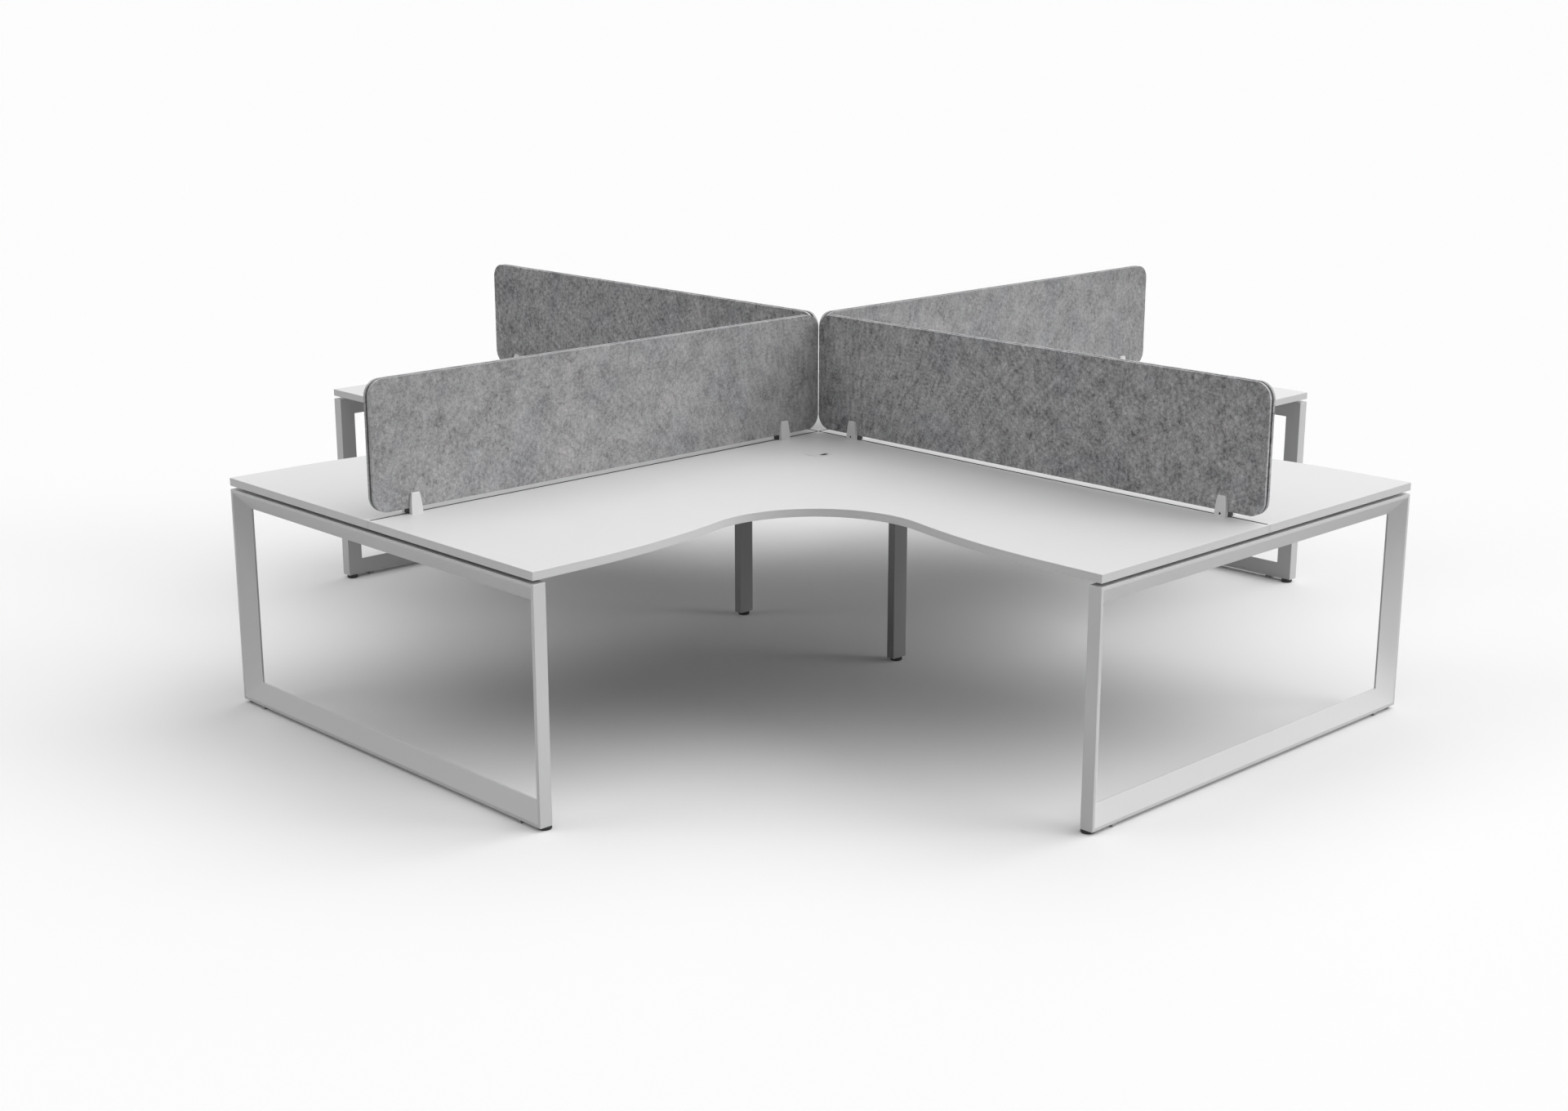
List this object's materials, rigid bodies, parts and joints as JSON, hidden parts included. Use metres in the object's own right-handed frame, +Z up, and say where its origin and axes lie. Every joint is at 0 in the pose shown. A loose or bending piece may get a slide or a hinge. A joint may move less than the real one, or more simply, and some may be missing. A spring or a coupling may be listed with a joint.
{
  "type": "cubicle workstation",
  "caption": "Cross-shaped cluster of curved-front desks on loop frames, with felt-covered screens clipped over the seams and capped cable outlets.",
  "frame": {"origin": "on the floor under the middle of the cluster, where the two seams between the worktops cross", "axes": "+Z up; the seams between the worktops run along X and Y; the centre legs stand on the X axis"},
  "size_m": [3.672, 3.672, 1.15],
  "materials": {
    "worktop": "white melamine laminate on chipboard, fine matt texture, grey backing sheet below",
    "edging": "white edging strip with rounded edges, dark grey on the faces inside the joints",
    "frame_paint": "white powder coat, fine satin",
    "underframe_paint": "grey powder coat, fine satin",
    "felt": "mottled grey pressed felt board",
    "screen_core": "dark core board",
    "white_plastic": "moulded white plastic, satin",
    "black_plastic": "moulded black plastic",
    "grey_plastic": "light grey moulded plastic",
    "grommet_plastic": "white moulded plastic, satin",
    "black_steel": "blackened steel",
    "zinc_steel": "bright zinc plated steel"
  },
  "bodies": {
    "cluster": {"beam_east": "underframe_paint", "beam_north": "underframe_paint", "beam_screws": "zinc_steel", "beam_south": "underframe_paint", "beam_west": "underframe_paint", "bracket_screws": "zinc_steel", "centre_leg_east": "underframe_paint", "centre_leg_west": "underframe_paint", "clip_blocks": "black_plastic", "clip_halves_east": "white_plastic", "clip_halves_north": "white_plastic", "clip_halves_south": "white_plastic", "clip_halves_west": "white_plastic", "clip_screws": "black_steel", "clip_studs": "zinc_steel", "end_frame_east": "frame_paint", "end_frame_north": "frame_paint", "end_frame_south": "frame_paint", "end_frame_west": "frame_paint", "foot_nuts": "zinc_steel", "frame_bolts": "zinc_steel", "glide_pads": "grey_plastic", "grommet_ring_north_east": "grommet_plastic", "grommet_ring_north_west": "grommet_plastic", "grommet_ring_south_east": "grommet_plastic", "grommet_ring_south_west": "grommet_plastic", "joint_plate": "underframe_paint", "rail_brackets": "underframe_paint", "screen_east_board_north": "felt", "screen_east_board_south": "felt", "screen_east_core": "screen_core", "screen_north_board_east": "felt", "screen_north_board_west": "felt", "screen_north_core": "screen_core", "screen_south_board_east": "felt", "screen_south_board_west": "felt", "screen_south_core": "screen_core", "screen_west_board_north": "felt", "screen_west_board_south": "felt", "screen_west_core": "screen_core", "seam_plugs": "white_plastic", "worktop_edging": "edging", "worktop_north_east": "worktop", "worktop_north_west": "worktop", "worktop_south_east": "worktop", "worktop_south_west": "worktop"},
    "foot_east_south": {"foot_east_south": "black_plastic"},
    "foot_east_north": {"foot_east_north": "black_plastic"},
    "foot_north_east": {"foot_north_east": "black_plastic"},
    "foot_north_west": {"foot_north_west": "black_plastic"},
    "foot_west_north": {"foot_west_north": "black_plastic"},
    "foot_west_south": {"foot_west_south": "black_plastic"},
    "foot_south_west": {"foot_south_west": "black_plastic"},
    "foot_south_east": {"foot_south_east": "black_plastic"},
    "foot_centre_east": {"foot_centre_east": "black_plastic"},
    "foot_centre_west": {"foot_centre_west": "black_plastic"},
    "grommet_cap_south_east": {"grommet_cap_south_east": "grommet_plastic"},
    "grommet_cap_north_east": {"grommet_cap_north_east": "grommet_plastic"},
    "grommet_cap_north_west": {"grommet_cap_north_west": "grommet_plastic"},
    "grommet_cap_south_west": {"grommet_cap_south_west": "grommet_plastic"}
  },
  "joints": [
    {"name": "foot_east_south_height", "type": "slide", "parent": "cluster", "child": "foot_east_south", "axis": [0, 0, -1], "range_m": [0, 0.012]},
    {"name": "foot_east_north_height", "type": "slide", "parent": "cluster", "child": "foot_east_north", "axis": [0, 0, -1], "range_m": [0, 0.012]},
    {"name": "foot_north_east_height", "type": "slide", "parent": "cluster", "child": "foot_north_east", "axis": [0, 0, -1], "range_m": [0, 0.012]},
    {"name": "foot_north_west_height", "type": "slide", "parent": "cluster", "child": "foot_north_west", "axis": [0, 0, -1], "range_m": [0, 0.012]},
    {"name": "foot_west_north_height", "type": "slide", "parent": "cluster", "child": "foot_west_north", "axis": [0, 0, -1], "range_m": [0, 0.012]},
    {"name": "foot_west_south_height", "type": "slide", "parent": "cluster", "child": "foot_west_south", "axis": [0, 0, -1], "range_m": [0, 0.012]},
    {"name": "foot_south_west_height", "type": "slide", "parent": "cluster", "child": "foot_south_west", "axis": [0, 0, -1], "range_m": [0, 0.012]},
    {"name": "foot_south_east_height", "type": "slide", "parent": "cluster", "child": "foot_south_east", "axis": [0, 0, -1], "range_m": [0, 0.012]},
    {"name": "foot_centre_east_height", "type": "slide", "parent": "cluster", "child": "foot_centre_east", "axis": [0, 0, -1], "range_m": [0, 0.012]},
    {"name": "foot_centre_west_height", "type": "slide", "parent": "cluster", "child": "foot_centre_west", "axis": [0, 0, -1], "range_m": [0, 0.012]},
    {"name": "grommet_cap_south_east_turn", "type": "hinge", "parent": "cluster", "child": "grommet_cap_south_east", "pos_m": [0.255, -0.255, 0.7415], "axis": [0, 0, 1], "continuous": true},
    {"name": "grommet_cap_north_east_turn", "type": "hinge", "parent": "cluster", "child": "grommet_cap_north_east", "pos_m": [0.255, 0.255, 0.7415], "axis": [0, 0, 1], "continuous": true},
    {"name": "grommet_cap_north_west_turn", "type": "hinge", "parent": "cluster", "child": "grommet_cap_north_west", "pos_m": [-0.255, 0.255, 0.7415], "axis": [0, 0, 1], "continuous": true},
    {"name": "grommet_cap_south_west_turn", "type": "hinge", "parent": "cluster", "child": "grommet_cap_south_west", "pos_m": [-0.255, -0.255, 0.7415], "axis": [0, 0, 1], "continuous": true}
  ]
}
